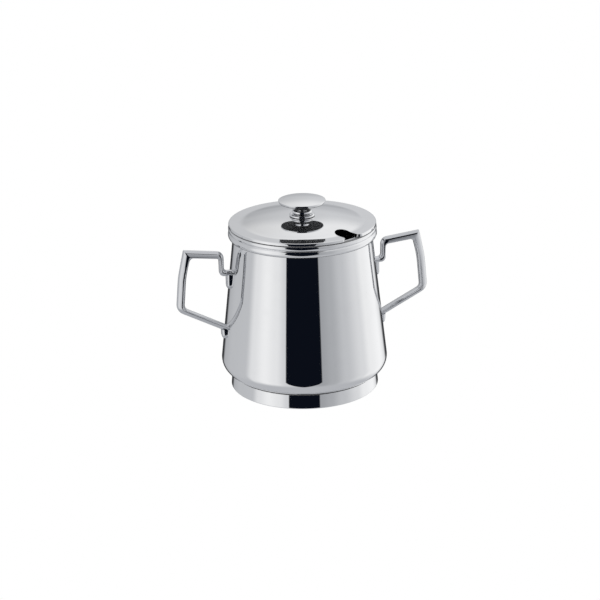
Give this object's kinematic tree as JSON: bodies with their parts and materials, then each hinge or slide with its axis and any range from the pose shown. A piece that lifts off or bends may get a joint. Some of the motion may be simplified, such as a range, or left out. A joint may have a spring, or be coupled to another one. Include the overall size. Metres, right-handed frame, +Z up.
{
  "type": "sugar pot",
  "caption": "Polished steel sugar pot with a flared body on a ring foot, angular side handles and a loose lid with a spoon notch and disc knob.",
  "frame": {"origin": "centre of the foot ring on the table, on the axis of the bowl", "axes": "+Z up along the axis of the bowl, +X towards the right handle, the spoon notch towards -Y"},
  "size_m": [0.1402, 0.091, 0.1055],
  "materials": {
    "bowl_steel": "mirror-polished stainless sheet",
    "band_steel": "mirror-polished stainless moulding",
    "foot_steel": "mirror-polished stainless sheet",
    "handle_steel": "polished stainless casting",
    "lid_steel": "mirror-polished stainless sheet",
    "knob_steel": "polished turned stainless",
    "screw_steel": "plain stainless hardware"
  },
  "bodies": {
    "pot": {"bowl_shell": "bowl_steel", "bowl_bottom": "bowl_steel", "rim_band": "band_steel", "foot_ring": "foot_steel", "left_handle": "handle_steel", "right_handle": "handle_steel"},
    "lid": {"lid_plate": "lid_steel", "lid_skirt": "lid_steel", "knob_collar": "knob_steel", "knob_stem": "knob_steel", "knob_cap": "knob_steel", "knob_screw": "screw_steel", "spring_washer": "screw_steel"}
  },
  "joints": [
    {"name": "lid_lift", "type": "slide", "parent": "pot", "child": "lid", "axis": [0, 0, 1], "range_m": [0, 0.06]}
  ]
}
